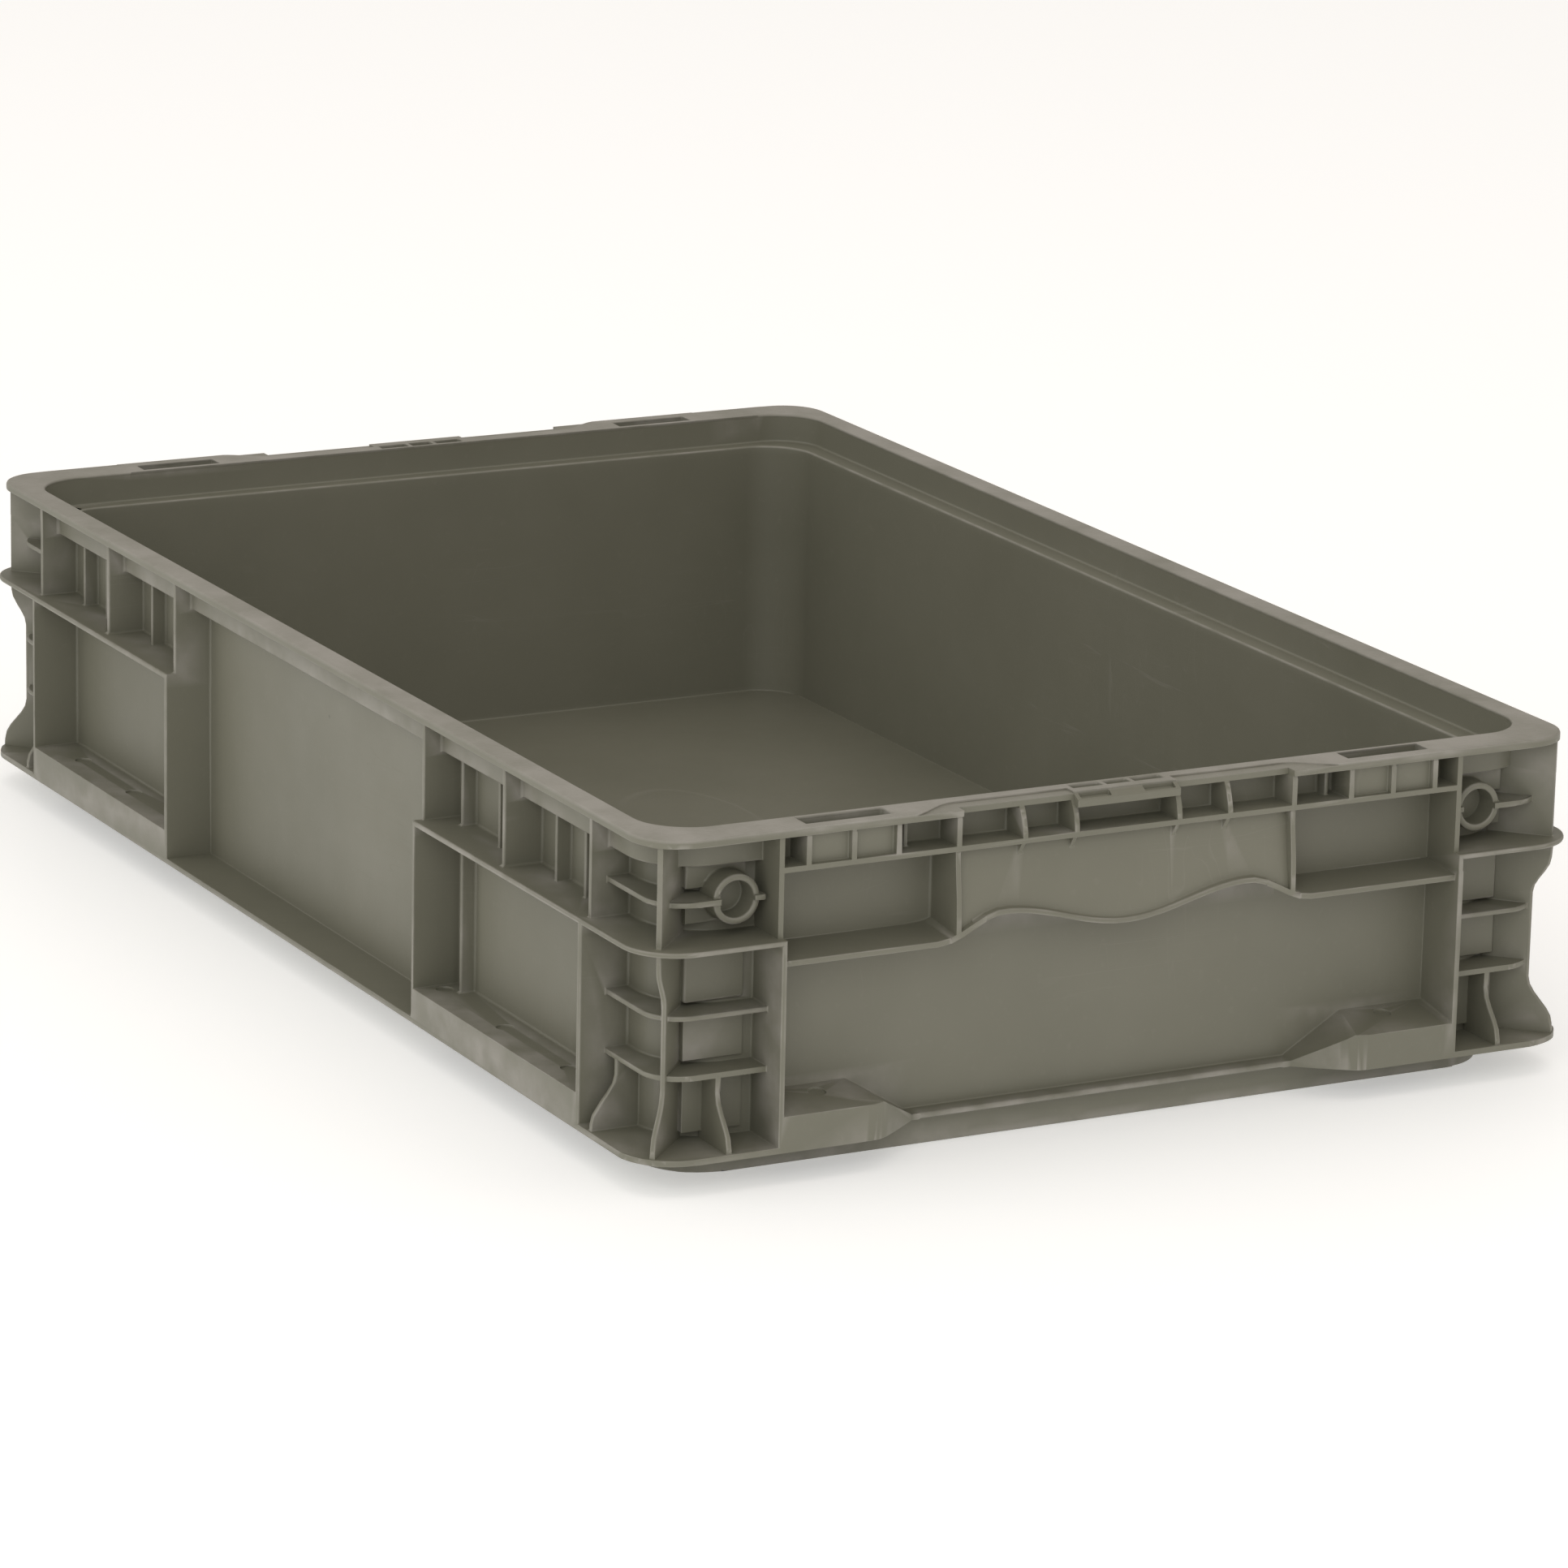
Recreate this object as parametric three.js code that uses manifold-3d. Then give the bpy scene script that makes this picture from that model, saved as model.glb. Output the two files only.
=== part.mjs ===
// Straight-wall stacking container, one injection moulding in polyethylene, open at the top.
// Millimetres, +Z up, +X along the length, origin at the centre of the underside of the foot.
// The moulding is built whole from solids, then parted along flat planes into its named regions.
import * as THREE from "three";
import { mergeVertices } from "three/addons/utils/BufferGeometryUtils.js";
import Module from "manifold-3d";

const wasm = await Module();
wasm.setup();

// ---- driving dimensions ----
const LENGTH = 609.6; // over the ledge and the bottom flange
const WIDTH = 381;
const HEIGHT = 127;
const OUT_X = LENGTH / 2;
const OUT_Y = WIDTH / 2;
const OUT_R = 20; // plan corner radius of the ledge and the flange
const WALL = 2.2;
const PLATE = 2; // ribs, plates, ledge and flange

const RIM_INSET = 2.8; // the rim stands this far inside the ledge
const RIM_X = OUT_X - RIM_INSET;
const RIM_Y = OUT_Y - RIM_INSET;
const RIM_R = 18;
const RIM_THICK = 3;
const RIM_Z = HEIGHT - RIM_THICK;
const LIP_INSET = 1; // plates above the ledge stand this far inside the rim
const UP_X = RIM_X - LIP_INSET;
const UP_Y = RIM_Y - LIP_INSET;

const NECK_X = 286.5; // inside of the upper wall
const NECK_Y = 177.5;
const TUB_X = 281; // inside of the lower wall
const TUB_Y = 169.3;
const TUB_R = 20; // inside plan corner radius
const STEP_Z = 115; // inside step between the two walls
const STEP_UNDER = 113;

const FLOOR_Z = 4; // underside of the floor, the foot ring stands below it
const FLOOR_THICK = 2.6;
const FLANGE_Z = 11.4;
const FLANGE_TOP = FLANGE_Z + 2.2;
const LEDGE_Z = 86;
const LEDGE_TOP = LEDGE_Z + PLATE;

// long sides: full plates with a bay either side of the middle one
const PLATE_X = [115, 182.3, 252];
const HALF_RIB_X = [128, 159.5, 206, 229.3];
const HALF_RIB_Y = 177.4;
const SKIRT_Z = 24.8; // top of the skirt below the bays

// ends
const POST_Y = 137.5; // plate between the corner bay and the label pocket
const RAIL_Z = 111.2; // strip under the row of cells
const RAIL_TOP = RAIL_Z + PLATE;
const POCKET_Z = 77.8;
const GRIP_Y = 68; // half width of the hand grip, at its side plates
const GRIP_TOP_X = 297.5; // top flange over the grip is set back to here
const SKIN_TOP_X = 296.3; // front of the grip skin where it meets the rail
const NOTCH_X = 296.1; // top of the sloping front of the notch
const LINE_X = 292.4; // the rim drops by a shallow step outside this line over the grip
const LINE_DROP = 0.7;
const GRIP_LOW_X = 302.4;
const WAVE_BELOW = 1; // the strip reaches this far under the wavy edge
const WAVE_SWING = 4.4;
const WAVE_PEAK_Y = 50;
const WAVE_END_Y = 76;
const CELL_Y = [20.8, 41.6, 91.8, 109.4, 127]; // plates between the cells
const CELL_STUB_Y = 85.5; // short plate inside the deep cell
const SLOT = { y0: 92.5, y1: 126, x0: 288.7, x1: 297 };
const NOTCH_Y = CELL_Y[0]; // raised front between the two middle plates
const NOTCH_Z = 122;
const NOTCH_POCKET = { y0: 6.8, y1: 19.2, deep: 1.3 };
const RIM_CELLS = [
  [-18.4, -6.4],
  [-4.8, 4.8],
  [6.4, 18.4],
];
const GUSSET_Y = [20.8, 41.6]; // short gussets under the rail, over the grip skin
const BLOCK_Y = 97; // end blocks keep full depth outside this
const BLOCK_END_Y = 78;
const BLOCK_Z = 24.6;
const BLOCK_ROUND = 6;
const MARK = { r: 3.25, deep: 0.7 }; // round ejector marks on the blocks and skirts
const MARK_X = [121, 172, 224.6];
const END_FLANGE_X = 290;

// corners
const RIB_IN = 10; // corner ribs stand this far inside the ledge
const RIB_Z = [38.5, 60, 100.6];
const TOP_RIB_Y = 139.8; // the top rib stops here, short of the post plate
const FIN_X = 261.3;
const FIN_Y = 157.3;
const BOSS = { y: 150.8, z: 101.6, r: 9.1, hole: 6.6, face: 293.6 };
const PAD = { y0: 143, y1: 166, high: 1.2, back: 12 };

const EPS = 0.4; // overlap that joins two solids

// ---- solids ----
function solid(geometry) {
  const bare = geometry.clone();
  bare.deleteAttribute("normal");
  bare.deleteAttribute("uv");
  const merged = mergeVertices(bare, 1e-4);
  return new wasm.Manifold(
    new wasm.Mesh({
      numProp: 3,
      vertProperties: new Float32Array(merged.attributes.position.array),
      triVerts: new Uint32Array(merged.index.array),
    }),
  );
}

// A copy reflected in X and/or Y, with its faces turned back out.
function reflected(geometry, sx, sy) {
  const copy = (geometry.index ? geometry.toNonIndexed() : geometry.clone()).scale(sx, sy, 1);
  if (sx * sy < 0) {
    const p = copy.attributes.position;
    for (let i = 0; i < p.count; i += 3) {
      const a = new THREE.Vector3().fromBufferAttribute(p, i + 1);
      const b = new THREE.Vector3().fromBufferAttribute(p, i + 2);
      p.setXYZ(i + 1, b.x, b.y, b.z);
      p.setXYZ(i + 2, a.x, a.y, a.z);
    }
  }
  return copy;
}

const QUADRANTS = [
  [1, 1],
  [1, -1],
  [-1, 1],
  [-1, -1],
];

function union(parts) {
  return parts.reduce((a, b) => a.add(b));
}

// The same shape in all four quadrants.
function four(geometry) {
  return union(QUADRANTS.map(([sx, sy]) => solid(reflected(geometry, sx, sy))));
}

function box(x0, x1, y0, y1, z0, z1) {
  const g = new THREE.BoxGeometry(x1 - x0, y1 - y0, z1 - z0);
  return g.translate((x0 + x1) / 2, (y0 + y1) / 2, (z0 + z1) / 2);
}

// Rounded rectangle about the origin, from z0 to z1.
function slab(hx, hy, r, z0, z1) {
  const s = new THREE.Shape();
  s.moveTo(hx, -hy + r);
  s.lineTo(hx, hy - r);
  s.absarc(hx - r, hy - r, r, 0, Math.PI / 2);
  s.lineTo(-hx + r, hy);
  s.absarc(-hx + r, hy - r, r, Math.PI / 2, Math.PI);
  s.lineTo(-hx, -hy + r);
  s.absarc(-hx + r, -hy + r, r, Math.PI, 1.5 * Math.PI);
  s.lineTo(hx - r, -hy);
  s.absarc(hx - r, -hy + r, r, 1.5 * Math.PI, 2 * Math.PI);
  const g = new THREE.ExtrudeGeometry(s, { depth: z1 - z0, bevelEnabled: false, curveSegments: 6 });
  return g.translate(0, 0, z0);
}

function ring(outer, inner) {
  return solid(outer).subtract(solid(inner));
}

// A flat polygon given as [u, v] points, extruded by depth along its normal.
function sheet(points, depth) {
  const s = new THREE.Shape(points.map(([u, v]) => new THREE.Vector2(u, v)));
  return new THREE.ExtrudeGeometry(s, { depth, bevelEnabled: false });
}

// A profile in X and Z, as a plate of the given thickness about y.
function plateXZ(points, y, thick) {
  return sheet(points, thick).rotateX(Math.PI / 2).translate(0, y + thick / 2, 0);
}

// A profile in Y and Z, as a plate of the given thickness about x.
function plateYZ(points, x, thick) {
  return sheet(points, thick).rotateZ(Math.PI / 2).rotateY(Math.PI / 2).translate(x - thick / 2, 0, 0);
}

// A curve that eases from a to b as t goes from 0 to 1.
function ease(a, b, t) {
  return a + ((b - a) * (1 - Math.cos(Math.PI * t))) / 2;
}

// Points of an eased curve between two [u, v] ends: u eases while v runs evenly.
function swan([u0, v0], [u1, v1], steps) {
  return Array.from({ length: steps + 1 }, (_, i) => [
    ease(u0, u1, i / steps),
    v0 + ((v1 - v0) * i) / steps,
  ]);
}

// ---- tub: walls, step, floor ----
const WALL_X = TUB_X + WALL;
const WALL_Y = TUB_Y + WALL;
const tubOuter = slab(WALL_X, WALL_Y, TUB_R + WALL, 0, STEP_Z);
const tubInner = slab(TUB_X, TUB_Y, TUB_R, -1, STEP_Z + 1);
const lowerWall = ring(tubOuter, tubInner);
const step = ring(
  slab(NECK_X + WALL, NECK_Y + WALL, TUB_R + WALL, STEP_UNDER, STEP_Z),
  slab(TUB_X, TUB_Y, TUB_R, 0, HEIGHT),
);
const upperWall = ring(
  slab(NECK_X + WALL, NECK_Y + WALL, TUB_R + WALL, STEP_Z - EPS, HEIGHT),
  slab(NECK_X, NECK_Y, TUB_R, 0, HEIGHT + 1),
);
const floor = solid(slab(TUB_X + EPS, TUB_Y + EPS, TUB_R, FLOOR_Z, FLOOR_Z + FLOOR_THICK));

// ---- rim ----
const rim = ring(
  slab(RIM_X, RIM_Y, RIM_R, RIM_Z, HEIGHT),
  slab(NECK_X, NECK_Y, TUB_R, 0, HEIGHT + 1),
);

// ---- ledge and flange, with their gaps ----
const ledgeFull = ring(
  slab(OUT_X, OUT_Y, OUT_R, LEDGE_Z, LEDGE_TOP),
  slab(TUB_X + 1, TUB_Y + 1, TUB_R, 0, HEIGHT),
);
const sideGap = solid(box(-PLATE_X[0], PLATE_X[0], -400, 400, 0, HEIGHT));
const endGap = solid(box(-400, 400, -POST_Y, POST_Y, 0, HEIGHT));
const ledge = ledgeFull.subtract(sideGap).subtract(endGap);
const flangeWhole = ring(
  slab(OUT_X, OUT_Y, OUT_R, FLANGE_Z, FLANGE_TOP),
  slab(TUB_X + 1, TUB_Y + 1, TUB_R, 0, HEIGHT),
);

// ---- plates and ribs of the long sides ----
const longPlates = PLATE_X.flatMap((x, i) => {
  const above = box(x - 1, x + 1, WALL_Y - EPS, UP_Y, LEDGE_TOP - EPS, RIM_Z + EPS);
  if (i === 1) return [four(above)];
  const below = box(x - 1, x + 1, WALL_Y - EPS, OUT_Y, FLANGE_Z, LEDGE_TOP);
  return [four(above), four(below)];
});
const halfRibs = HALF_RIB_X.map((x) =>
  four(box(x - 0.9, x + 0.9, WALL_Y - EPS, HALF_RIB_Y, LEDGE_TOP - EPS, STEP_UNDER + EPS)),
);
const lowRib = four(
  box(
    HALF_RIB_X[0] - 0.9,
    HALF_RIB_X[0] + 0.9,
    WALL_Y - EPS,
    HALF_RIB_Y,
    SKIRT_Z - EPS,
    LEDGE_Z + EPS,
  ),
);

// ---- skirts under the long side bays: a front face and a shelf, open below ----
const skirtFace = four(box(PLATE_X[0], PLATE_X[2], OUT_Y - WALL, OUT_Y, FLANGE_Z, SKIRT_Z));
const skirtShelf = four(
  box(PLATE_X[0], PLATE_X[2], WALL_Y - EPS, OUT_Y, SKIRT_Z - WALL, SKIRT_Z),
);
const skirtHollow = four(
  box(PLATE_X[0] + 1, PLATE_X[2] - 1, WALL_Y + EPS, OUT_Y - WALL, 0, SKIRT_Z - WALL),
);

// ---- corners ----
const cornerZone = four(box(PLATE_X[2] - 1, 400, POST_Y - 1, 400, 0, 200));
const topRibZone = four(box(PLATE_X[2] - 1, 400, TOP_RIB_Y, 400, 0, 200));
const cornerRibs = RIB_Z.map((z, i) =>
  ring(
    slab(OUT_X - RIB_IN, OUT_Y - RIB_IN, OUT_R - RIB_IN + 4, z, z + PLATE),
    slab(TUB_X + 1, TUB_Y + 1, TUB_R, 0, HEIGHT),
  ).intersect(i < 2 ? cornerZone : topRibZone),
);
// diagonal fin: measured outwards from the centre of the ledge's corner arc
const finIn = -8;
const finOut = OUT_R - 0.6;
const finMid = OUT_R - RIB_IN;
const finUp = OUT_R - RIM_INSET - LIP_INSET;
const fin = sheet(
  [
    [finIn, FLANGE_Z + EPS],
    [finOut, FLANGE_Z + EPS],
    ...swan([finOut, 17], [finMid, 34], 6),
    ...swan([finMid, 66], [finOut - 3, 80], 5),
    [finOut - 2.6, LEDGE_Z + EPS],
    [finUp, LEDGE_TOP - EPS],
    [finUp, RIM_Z + EPS],
    [finIn, RIM_Z + EPS],
  ],
  PLATE,
);
const diagonalFin = four(
  fin
    .clone()
    .rotateX(Math.PI / 2)
    .translate(0, PLATE / 2, 0)
    .rotateZ(Math.PI / 4)
    .translate(OUT_X - OUT_R, OUT_Y - OUT_R, 0),
);
// small fins below the second rib, one on each face of the corner
const smallFinX = four(
  plateYZ(
    [
      [WALL_Y - EPS, FLANGE_Z + EPS],
      [OUT_Y - 0.8, FLANGE_Z + EPS],
      ...swan([OUT_Y - 0.8, 16], [OUT_Y - RIB_IN, 33], 5),
      [OUT_Y - RIB_IN, RIB_Z[0] + EPS],
      [WALL_Y - EPS, RIB_Z[0] + EPS],
    ],
    FIN_X,
    PLATE,
  ),
);
const smallFinY = four(
  plateXZ(
    [
      [WALL_X - EPS, FLANGE_Z + EPS],
      [OUT_X - 0.8, FLANGE_Z + EPS],
      ...swan([OUT_X - 0.8, 16], [OUT_X - RIB_IN, 33], 5),
      [OUT_X - RIB_IN, RIB_Z[0] + EPS],
      [WALL_X - EPS, RIB_Z[0] + EPS],
    ],
    FIN_Y,
    PLATE,
  ),
);
// raised pads on the end wall behind the corner bays
const padSpans = [
  [FLANGE_TOP + 3, RIB_Z[0]],
  [RIB_Z[0] + 4.2, RIB_Z[1]],
  [RIB_Z[1] + 3.5, LEDGE_Z],
  [LEDGE_TOP + 4, RIB_Z[2]],
  [RIB_Z[2] + 4, STEP_UNDER],
];
const pads = padSpans.map(([z0, z1]) =>
  four(box(TUB_X - PAD.back, WALL_X + PAD.high, PAD.y0, PAD.y1, z0, z1 + EPS)),
);

// round socket on the top rib
const bossTube = new THREE.LatheGeometry(
  [
    [0, 0],
    [BOSS.r, 0],
    [BOSS.r, BOSS.face - WALL_X + EPS],
    [BOSS.hole, BOSS.face - WALL_X + EPS],
    [BOSS.hole, EPS + 1],
    [0, EPS + 1],
  ].map(([r, y]) => new THREE.Vector2(r, y)),
  32,
)
  .rotateZ(-Math.PI / 2)
  .translate(WALL_X - EPS, BOSS.y, BOSS.z);
const bosses = four(bossTube);
const bossHoles = four(
  new THREE.CylinderGeometry(BOSS.hole, BOSS.hole, 20, 32)
    .rotateZ(Math.PI / 2)
    .translate(WALL_X + 1 + 10, BOSS.y, BOSS.z),
);

// ---- ends: post plates, label pockets, hand grip ----
const postPlates = [
  four(box(WALL_X - EPS, OUT_X, POST_Y - 1, POST_Y + 1, FLANGE_Z, LEDGE_TOP)),
  four(box(WALL_X - EPS, UP_X, POST_Y - 1, POST_Y + 1, LEDGE_TOP - EPS, RIM_Z + EPS)),
];
const rail = four(box(WALL_X - EPS, UP_X, -EPS, POST_Y, RAIL_Z, RAIL_TOP));

// lower edge of the grip, as a height over y, level along the label pockets
const WAVE_MID = POCKET_Z + WAVE_BELOW + WAVE_SWING;
function wave(y) {
  const a = Math.abs(y);
  if (a < WAVE_PEAK_Y) return WAVE_MID - WAVE_SWING * Math.cos((Math.PI * a) / WAVE_PEAK_Y);
  if (a > WAVE_END_Y) return WAVE_MID - WAVE_SWING;
  return WAVE_MID + WAVE_SWING * Math.cos((Math.PI * (a - WAVE_PEAK_Y)) / (WAVE_END_Y - WAVE_PEAK_Y));
}
const waveY = [
  -POST_Y,
  ...Array.from({ length: 33 }, (_, i) => WAVE_END_Y * (i / 16 - 1)),
  POST_Y,
];
const shelfRise = 1.6 / (GRIP_LOW_X - WALL_X);
const leanUp = new THREE.Matrix4().makeTranslation(0, 0, shelfRise * GRIP_LOW_X);
leanUp.elements[2] = -shelfRise;
// A wavy strip, from the given depth under the lower edge to the given height above it.
// It climbs a little towards the wall.
function waveStrip(x0, x1, below, above) {
  const low = waveY.map((y) => [y, wave(y) - below]);
  const high = waveY.map((y) => [y, wave(y) + above]).reverse();
  return sheet([...low, ...high], x1 - x0)
    .rotateX(Math.PI / 2)
    .rotateZ(Math.PI / 2)
    .translate(x0, 0, 0)
    .applyMatrix4(leanUp);
}
function bothEnds(geometry) {
  return solid(geometry).add(solid(reflected(geometry, -1, 1)));
}
const waveRib = bothEnds(waveStrip(GRIP_LOW_X - 3, GRIP_LOW_X, WAVE_BELOW, 1.2));
// beside the grip the wavy strip is the floor of the label pocket, back to the wall
const pocketShelf = bothEnds(waveStrip(WALL_X - EPS, GRIP_LOW_X, WAVE_BELOW, 1.2)).intersect(
  four(box(0, 400, GRIP_Y - EPS, POST_Y, 0, HEIGHT)),
);
// sloping skin from the rail down to the wavy edge
const underWave = bothEnds(waveStrip(WALL_X + 1, OUT_X + 5, 30, 0));
const gripSkin = bothEnds(
  plateXZ(
    [
      [SKIN_TOP_X - WALL, RAIL_Z + EPS],
      [GRIP_LOW_X - 1.2 - WALL, 78],
      [GRIP_LOW_X - 1.2, 78],
      [SKIN_TOP_X, RAIL_Z + EPS],
    ],
    0,
    2 * GRIP_Y,
  ),
).subtract(underWave);
const gripSide = four(
  plateXZ(
    [
      [WALL_X - EPS, POCKET_Z + 3],
      [GRIP_LOW_X, POCKET_Z + 3],
      ...swan([GRIP_LOW_X, 88], [UP_X - 0.6, RAIL_Z], 4),
      [WALL_X - EPS, RAIL_Z + EPS],
    ],
    GRIP_Y,
    PLATE,
  ),
);

// ---- row of cells under the rim of each end ----
const cellProfile = [
  [NECK_X + 1, RAIL_Z + EPS],
  [UP_X, RAIL_Z + EPS],
  [UP_X, RIM_Z + EPS],
  [NECK_X + 1, RIM_Z + EPS],
];
const gripCellProfile = [
  [NECK_X + 1, RAIL_Z + EPS],
  [UP_X, RAIL_Z + EPS],
  ...Array.from({ length: 6 }, (_, i) => [
    UP_X - (UP_X - GRIP_TOP_X) * (i / 5) ** 2,
    RAIL_TOP + ((RIM_Z - RAIL_TOP) * i) / 5,
  ]),
  [GRIP_TOP_X, RIM_Z + EPS],
  [NECK_X + 1, RIM_Z + EPS],
];
const cells = CELL_Y.map((y) => four(plateXZ(y < GRIP_Y ? gripCellProfile : cellProfile, y, PLATE)));
const gripWall = four(plateXZ(cellProfile, GRIP_Y, PLATE));
const cellStub = four(
  box(
    NECK_X + 1,
    UP_X - 7,
    CELL_STUB_Y - 0.8,
    CELL_STUB_Y + 0.8,
    RAIL_Z + EPS,
    RIM_Z + EPS,
  ),
);
// solid fronts of the two shallow cells, with the rim slot behind them
const shallow = four(
  box(SLOT.x1, SLOT.x1 + 1.6, CELL_Y[2], CELL_Y[4], RAIL_Z + EPS, RIM_Z + EPS),
);
const slots = four(box(SLOT.x0, SLOT.x1, SLOT.y0, SLOT.y1, RAIL_TOP, HEIGHT + 1));

// the shallow step runs along the grip, then eases out to the full width of the rim
const stepLine = Array.from({ length: 11 }, (_, i) => [
  ease(LINE_X, RIM_X + 0.3, i / 10),
  GRIP_Y - 2 + ((BLOCK_Y - 9 - GRIP_Y + 2) * i) / 10,
]);
const lineCut = four(
  sheet(
    [[LINE_X, NOTCH_Y], [400, NOTCH_Y], [400, stepLine[10][1]], ...[...stepLine].reverse()],
    3,
  ).translate(0, 0, HEIGHT - LINE_DROP),
);
const gripCut = four(box(GRIP_TOP_X, 400, -1, GRIP_Y - 1, RIM_Z, HEIGHT + 1)).add(lineCut);
const notchHigh = [NOTCH_X, HEIGHT];
const notchLow = [UP_X, NOTCH_Z + 2.4];
const notchBody = bothEnds(
  plateXZ(
    [
      [NOTCH_X - 2, NOTCH_Z],
      [UP_X, NOTCH_Z],
      notchLow,
      notchHigh,
      [NOTCH_X - 2, HEIGHT],
    ],
    0,
    2 * NOTCH_Y,
  ),
);
// a point along the sloping front of the notch, raised by the given height above it
function onNotch(t, high) {
  const slope = Math.atan2(notchHigh[1] - notchLow[1], notchLow[0] - notchHigh[0]);
  return [
    notchHigh[0] + (notchLow[0] - notchHigh[0]) * t + high * Math.sin(slope),
    notchHigh[1] + (notchLow[1] - notchHigh[1]) * t + high * Math.cos(slope),
  ];
}
const notchPockets = four(
  plateXZ(
    [
      onNotch(0.12, -NOTCH_POCKET.deep),
      onNotch(0.82, -NOTCH_POCKET.deep),
      onNotch(0.82, 2),
      onNotch(0.12, 2),
    ],
    (NOTCH_POCKET.y0 + NOTCH_POCKET.y1) / 2,
    NOTCH_POCKET.y1 - NOTCH_POCKET.y0,
  ),
);
const notch = notchBody.subtract(notchPockets);
const rimCells = union(
  RIM_CELLS.map(([y0, y1]) => bothEnds(box(SLOT.x0, 293.2, y0, y1, HEIGHT - 2.2, HEIGHT + 1))),
);
const gussets = GUSSET_Y.map((y) =>
  four(
    plateXZ(
      [
        [SKIN_TOP_X - 1, RAIL_Z + EPS],
        [SKIN_TOP_X + 0.2, RAIL_Z - 5.4],
        [UP_X - 0.8, RAIL_Z + EPS],
      ],
      y,
      1.6,
    ),
  ),
);

// ---- blocks at the foot of each end ----
// the plan corner where the front face turns into the taper, as a quadratic curve
const taperLength = Math.hypot(OUT_X - END_FLANGE_X, BLOCK_Y - BLOCK_END_Y);
const taperX = (OUT_X - END_FLANGE_X) / taperLength;
const taperY = (BLOCK_Y - BLOCK_END_Y) / taperLength;
const blockCorner = Array.from({ length: 7 }, (_, i) => {
  const t = i / 6;
  const near = BLOCK_ROUND * (1 - t) * (1 - t);
  const far = BLOCK_ROUND * t * t;
  return [OUT_X - near * taperX, BLOCK_Y - near * taperY + far];
});
const blockPlan = sheet(
  [
    [WALL_X - EPS, BLOCK_END_Y],
    [END_FLANGE_X, BLOCK_END_Y],
    ...blockCorner,
    [OUT_X, POST_Y],
    [WALL_X - EPS, POST_Y],
  ],
  40,
);
const blockSide = plateXZ(
  [
    [WALL_X - EPS, FLANGE_Z],
    [OUT_X, FLANGE_Z],
    [OUT_X, BLOCK_Z],
    [WALL_X - EPS, BLOCK_Z + 3.6],
  ],
  100,
  120,
);
const fallSlope = (30 - FLANGE_TOP) / (BLOCK_Y + 8 - BLOCK_END_Y);
const blockFall = plateYZ(
  [
    [BLOCK_END_Y - 1, 0],
    [POST_Y + 1, 0],
    [POST_Y + 1, 40],
    [BLOCK_Y + 8, 30],
    [BLOCK_END_Y - 1, FLANGE_TOP - fallSlope],
  ],
  300,
  60,
);
const blockSolid = four(blockPlan).intersect(four(blockSide)).intersect(four(blockFall));
const blockHollow = four(
  sheet(
    [
      [WALL_X + EPS, BLOCK_END_Y + 8],
      [END_FLANGE_X - 1, BLOCK_END_Y + 8],
      [OUT_X - WALL, BLOCK_Y + 2],
      [OUT_X - WALL, POST_Y - 1],
      [WALL_X + EPS, POST_Y - 1],
    ],
    30,
  ),
)
  .intersect(four(blockSide.clone().translate(0, 0, -WALL - 2)))
  .intersect(four(blockFall.clone().translate(0, 0, -WALL - 1)));

const flange = flangeWhole.subtract(
  four(
    sheet(
      [
        [END_FLANGE_X, -1],
        [400, -1],
        [400, BLOCK_Y + BLOCK_ROUND],
        ...[...blockCorner].reverse(),
        [END_FLANGE_X, BLOCK_END_Y],
      ],
      HEIGHT,
    ),
  ),
);

// round marks left by the ejector pins, on the skirt shelves and the blocks
function mark(x, y, z, lean) {
  return four(
    new THREE.CylinderGeometry(MARK.r, MARK.r, 4, 20)
      .rotateX(Math.PI / 2)
      .translate(0, 0, 2 - MARK.deep)
      .rotateY(lean)
      .translate(x, y, z),
  );
}
const blockLean = Math.atan2(3.6, OUT_X - WALL_X);
const marks = [
  ...MARK_X.map((x) => mark(x, 180, SKIRT_Z, 0)),
  mark(290, 116, BLOCK_Z + (OUT_X - 290) * Math.tan(blockLean), blockLean),
];

// ---- the whole moulding ----
const whole = union([
  lowerWall,
  step,
  upperWall,
  floor,
  rim,
  ledge,
  ...longPlates,
  ...halfRibs,
  lowRib,
  skirtFace,
  skirtShelf,
  ...cornerRibs,
  diagonalFin.intersect(cornerZone),
  smallFinX,
  smallFinY,
  ...pads,
  bosses,
  ...postPlates,
  rail,
  waveRib,
  pocketShelf,
  gripSkin,
  gripSide,
  ...gussets,
  ...cells,
  gripWall,
  cellStub,
  shallow,
  flange.subtract(skirtHollow),
  blockSolid,
])
  .subtract(blockHollow)
  .subtract(bossHoles)
  .subtract(slots)
  .subtract(gripCut)
  .add(notch)
  .subtract(rimCells)
  .subtract(union(marks))
  .subtract(solid(slab(TUB_X, TUB_Y, TUB_R, FLOOR_Z + FLOOR_THICK, STEP_Z)))
  .subtract(solid(slab(NECK_X, NECK_Y, TUB_R, STEP_Z, HEIGHT + 5)));

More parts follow.
